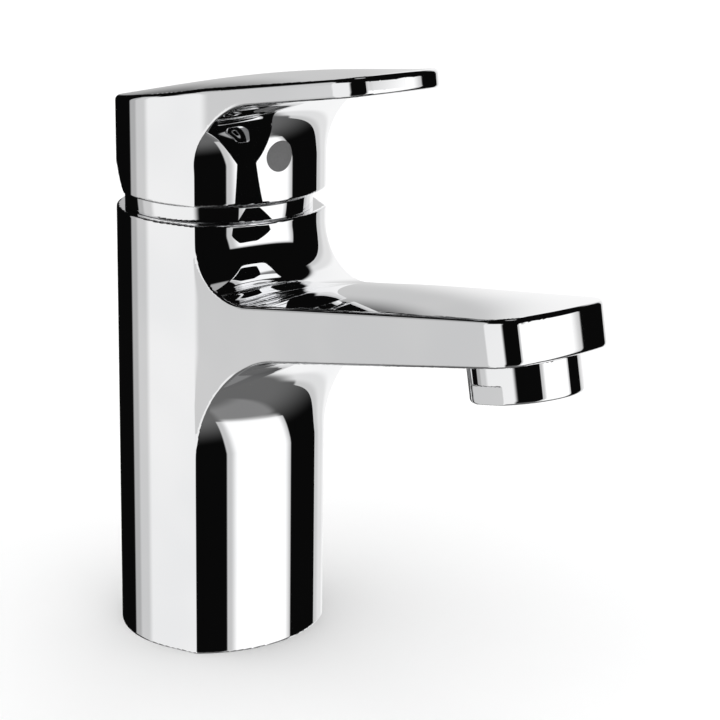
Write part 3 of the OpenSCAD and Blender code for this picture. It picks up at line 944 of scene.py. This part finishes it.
@dataclass(frozen=True)
class TurnedMetal(Finish):
    """Lathe-turned metal with fine rings round its own upright axis."""

    rings: float = 9000.0
    wander: float = 6.0

    def detail(self, graph: Graph) -> tuple[Wire, Wire, Wire]:
        """Shares for the tone, the roughness and the relief height.

        Formula: the rings are the sine of the height times their number, wandering with noise. Tone is seven
        tenths clouds and three tenths rings, and roughness follows the clouds.
        """
        height = graph.wire("SeparateXYZ", {"Vector": graph.place()}, "Z")
        rings = (height * self.rings + graph.noise(400.0, 3.0) * self.wander).math("SINE") * 0.5 + 0.5
        clouds = graph.noise(90.0, 3.0)
        return clouds * 0.7 + rings * 0.3, clouds.step(0.3, 0.7), rings


FINISHES: tuple[Finish, ...] = (
    PolishedChrome("chrome", (0.885, 0.89, 0.90), (0.945, 0.945, 0.95), (0.012, 0.045), 1.0, relief=0.02,
                   relief_depth=0.00002),
    Finish("rubber", (0.012, 0.012, 0.013), (0.035, 0.035, 0.034), (0.55, 0.8), grain=2600, relief=0.35),
    Finish("cartridge_plastic", (0.70, 0.70, 0.67), (0.84, 0.84, 0.81), (0.32, 0.5), grain=1500,
           relief=0.12),
    Finish("guide_plastic", (0.035, 0.035, 0.037), (0.085, 0.085, 0.085), (0.35, 0.55), grain=1800,
           stretch=(1, 1, 0.3), relief=0.2),
    Finish("carrier_plastic", (0.05, 0.16, 0.42), (0.10, 0.26, 0.58), (0.3, 0.45), grain=1500, relief=0.1),
    Finish("stop_plastic", (0.46, 0.045, 0.035), (0.64, 0.085, 0.06), (0.3, 0.45), grain=1500, relief=0.1),
    Finish("outlet_plastic", (0.60, 0.62, 0.64), (0.78, 0.80, 0.82), (0.25, 0.42), grain=1600, relief=0.1),
    Finish("ceramic", (0.83, 0.81, 0.76), (0.92, 0.90, 0.86), (0.08, 0.2), grain=3000, relief=0.03,
           coat=0.3),
    TurnedMetal("steel", (0.46, 0.46, 0.47), (0.66, 0.66, 0.66), (0.22, 0.36), 1.0, relief=0.15),
    TurnedMetal("brass", (0.55, 0.40, 0.17), (0.78, 0.61, 0.31), (0.2, 0.36), 1.0, relief=0.15),
    Finish("indicator", (0.19, 0.19, 0.192), (0.225, 0.225, 0.227), (0.3, 0.42), grain=2200, relief=0.06,
           specular=0.3),
)
BY_SLOT = {finish.slot: finish for finish in FINISHES}


def dress(piece: bpy.types.Object, slot: str) -> None:
    """Puts the finish of a material slot on an object, in place of any other."""
    piece.data.materials.clear()
    piece.data.materials.append(BY_SLOT[slot].material())


# ---------------------------------------------------------------------------------------------------------
# Assembly
# ---------------------------------------------------------------------------------------------------------


@dataclass(frozen=True)
class Stand:
    """A rebuilt piece: who makes it, the CAD node it stands for and the body it rides on."""

    maker: ColumnAndSpout | LeverCasting | TrimRing | IndicatorButton | OutletCollar
    node: str
    body: Body
    slot: str = "chrome"

    def place(self) -> None:
        """Builds the piece, dresses it and ties it to its body."""
        piece = self.maker.build()
        dress(piece, self.slot)
        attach(piece, self.body.value)
        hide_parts(self.node)
        log.info("%s stands for %s with %d faces", piece.name, self.node, len(piece.data.polygons))


@dataclass(frozen=True)
class CadNodes:
    """The CAD nodes, whose shapes stay. A node is hidden when the piece that stands for it is placed."""

    record: dict

    def dress(self) -> None:
        """Gives each node the finish of its material slot in the record."""
        for part in self.record["subparts"]:
            dress(frame["nodes"][part["node"]], part["material_slot"])
            log.info("%s is dressed in %s", part["node"], part["material_slot"])


# ---------------------------------------------------------------------------------------------------------
# Studio
# ---------------------------------------------------------------------------------------------------------


@dataclass(frozen=True)
class Panel:
    """A soft-edged patch of the surroundings, between two bearings and two heights, in degrees.

    Its low edge rises by the slant for each degree of bearing.
    """

    start: float
    end: float
    low: float
    high: float
    light: float
    soft: float = 2.0
    soft_high: float = 6.0
    slant: float = 0.0


@dataclass(frozen=True)
class Studio:
    """Surroundings that chrome mirrors, a pale floor, an overhead light and the camera."""

    panels: tuple[Panel, ...] = (
        Panel(45, 54, -34, 20, 0.60, 8),
        Panel(0, 44, -52, 34, 0.62, 1.5),
        Panel(11, 44, -52, 34, 0.80, 8),
        Panel(24, 43, -50, 32, 0.98, 8),
        Panel(119, 131, -60, 26, 0.45, 3),
        Panel(131, 150, -60, 26, 0.64, 5),
        Panel(150, 201, -60, 14, 0.92, 9),
        Panel(266, 312, -68, -50, 0.24, 10),
        Panel(1, 359, 80, 95, 0.40, 4),
        Panel(258, 322, -56, 8, 0.60, 1.5, 3, 0.24),
        Panel(268, 315, -51, 5, 1.15, 8, 5, 0.24),
    )
    ceiling: float = 0.003
    ground: float = 0.14
    ground_start: float = -32.0
    ground_end: float = -62.0
    floor_half: float = 4.0
    sun: float = 3.6
    sun_spread: float = 120.0
    sun_way: tuple[float, float, float] = (0.3, 0.4, -1.6)
    lens: float = 104.6
    sensor: float = 36.0
    eye: tuple[float, float, float] = (-0.2962, -0.4018, 0.2153)
    look: tuple[float, float, float] = (0.6216, 0.7304, -0.2830)
    roll: float = 0.017

    def surroundings(self) -> None:
        """World light.

        Formula: bearing is the arctangent of y over x and height the arcsine of z, in degrees. The ceiling's
        tone passes to the ground's between two heights, and each panel replaces what lies under it by the
        product of its window of bearings and its two steps in height. What the camera sees directly is plain
        white.
        """
        world = bpy.data.worlds.new("studio")
        bpy.context.scene.world = world
        world.use_nodes = True
        world.node_tree.nodes.clear()
        graph = Graph(world.node_tree)
        way = graph.wire("TexCoord", {}, "Generated")
        x, y, z = (graph.wire("SeparateXYZ", {"Vector": way}, axis) for axis in "XYZ")
        bearing = (y.math("ARCTAN2", x) * math.degrees(1) + 360.0).math("MODULO", 360.0)
        height = z.math("ARCSINE") * math.degrees(1)
        share = height.step(self.ground_start, self.ground_end)
        light = share * (self.ground - self.ceiling) + self.ceiling
        for panel in self.panels:
            share = bearing.window(panel.start, panel.end, panel.soft)
            risen = height - (bearing - panel.start) * panel.slant
            share = share * risen.step(panel.low - panel.soft, panel.low)
            share = share * height.step(panel.high + panel.soft_high, panel.high)
            light = light * (1.0 - share) + share * panel.light
        seen = graph.wire("LightPath", {}, "Is Camera Ray")
        light = light * (1.0 - seen) + seen
        shine = graph.wire("Background", {"Color": (1, 1, 1, 1), "Strength": light}, "Background")
        graph.add("OutputWorld", {"Surface": shine})

    def floor(self) -> None:
        """A pale matt floor, which the chrome doesn't mirror, under one large soft light."""
        half = self.floor_half
        corners = np.array([[-half, -half, 0], [half, -half, 0], [half, half, 0], [-half, half, 0]])
        ground = new_mesh("floor", corners, np.array([[0, 1, 2, 3]]))
        paint = Finish("floor", (0.95, 0.95, 0.95), (0.96, 0.96, 0.96), (0.8, 0.95), grain=60, relief=0.0)
        ground.data.materials.append(paint.material())
        ground.visible_glossy = False
        lamp = bpy.data.lights.new("overhead", "SUN")
        lamp.energy = self.sun
        lamp.angle = math.radians(self.sun_spread)
        light = bpy.data.objects.new("overhead", lamp)
        light.rotation_euler = Vector(self.sun_way).to_track_quat("-Z", "Y").to_euler()
        light.visible_glossy = False
        bpy.context.scene.collection.objects.link(light)

    def camera(self) -> None:
        """The camera, from its place, its line of sight and its roll about that line."""
        look = Vector(self.look).normalized()
        right = look.cross(Vector((0, 0, 1))).normalized()
        up = right.cross(look)
        c, s = math.cos(self.roll), math.sin(self.roll)
        axes = Matrix((c * right + s * up, c * up - s * right, -look)).transposed()
        data = bpy.data.cameras.new("camera")
        data.lens = self.lens
        data.sensor_width = self.sensor
        eye = bpy.data.objects.new("camera", data)
        eye.matrix_world = Matrix.Translation(self.eye) @ axes.to_4x4()
        bpy.context.scene.collection.objects.link(eye)
        bpy.context.scene.camera = eye

    def build(self) -> None:
        """Sets up everything that isn't the tap."""
        self.surroundings()
        self.floor()
        self.camera()
        bpy.context.scene.view_settings.view_transform = "Standard"


def main() -> None:
    """Dresses the CAD nodes, rebuilds the five outer pieces and sets up the studio."""
    logging.basicConfig(level=logging.INFO)
    CadNodes(frame["record"]).dress()
    lever = LeverCasting()
    for stand in (
        Stand(ColumnAndSpout(), "body", Body.TAP),
        Stand(lever, "lever", Body.HANDLE),
        Stand(TrimRing(), "cover_ring", Body.TAP),
        Stand(IndicatorButton(lever), "indicator_plug", Body.HANDLE, "indicator"),
        Stand(OutletCollar(), "aerator_collar", Body.TAP),
    ):
        stand.place()
    Studio().build()


if __name__ == "__main__":
    main()
